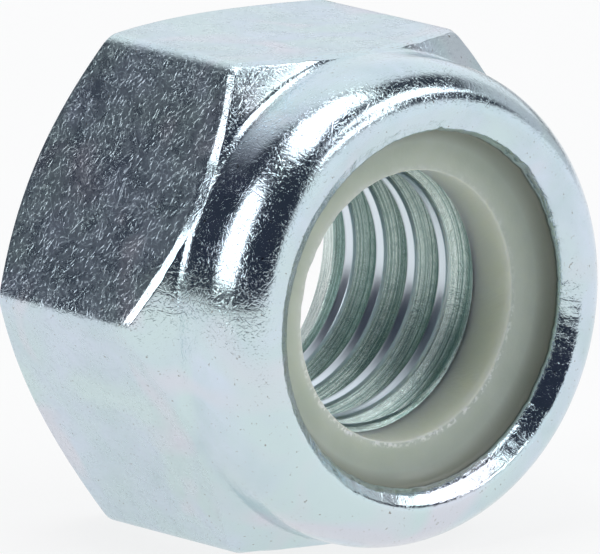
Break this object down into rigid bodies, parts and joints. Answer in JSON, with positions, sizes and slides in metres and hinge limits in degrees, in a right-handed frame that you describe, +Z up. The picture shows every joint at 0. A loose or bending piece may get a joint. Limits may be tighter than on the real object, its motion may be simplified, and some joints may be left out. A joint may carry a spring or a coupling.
{
  "type": "nylon insert lock nut",
  "caption": "Hexagon lock nut with a threaded bore and a rolled collar that holds a nylon ring, which grips the screw.",
  "frame": {"origin": "on the surface that the nut lies on, under the thread axis, half way along the nut", "axes": "+X along the thread axis, from the bearing face to the rolled collar; +Z up, square to the flat that the nut lies on; +Y level, through two opposite corners"},
  "size_m": [0.0094, 0.0148, 0.0129],
  "materials": {
    "zinc_plated_steel": "bright zinc plate, blue passivated, barrel tumbled",
    "nylon": "natural translucent grey nylon, as moulded"
  },
  "bodies": {
    "root": {"nut_body": "zinc_plated_steel", "nylon_insert": "nylon"}
  },
  "joints": []
}
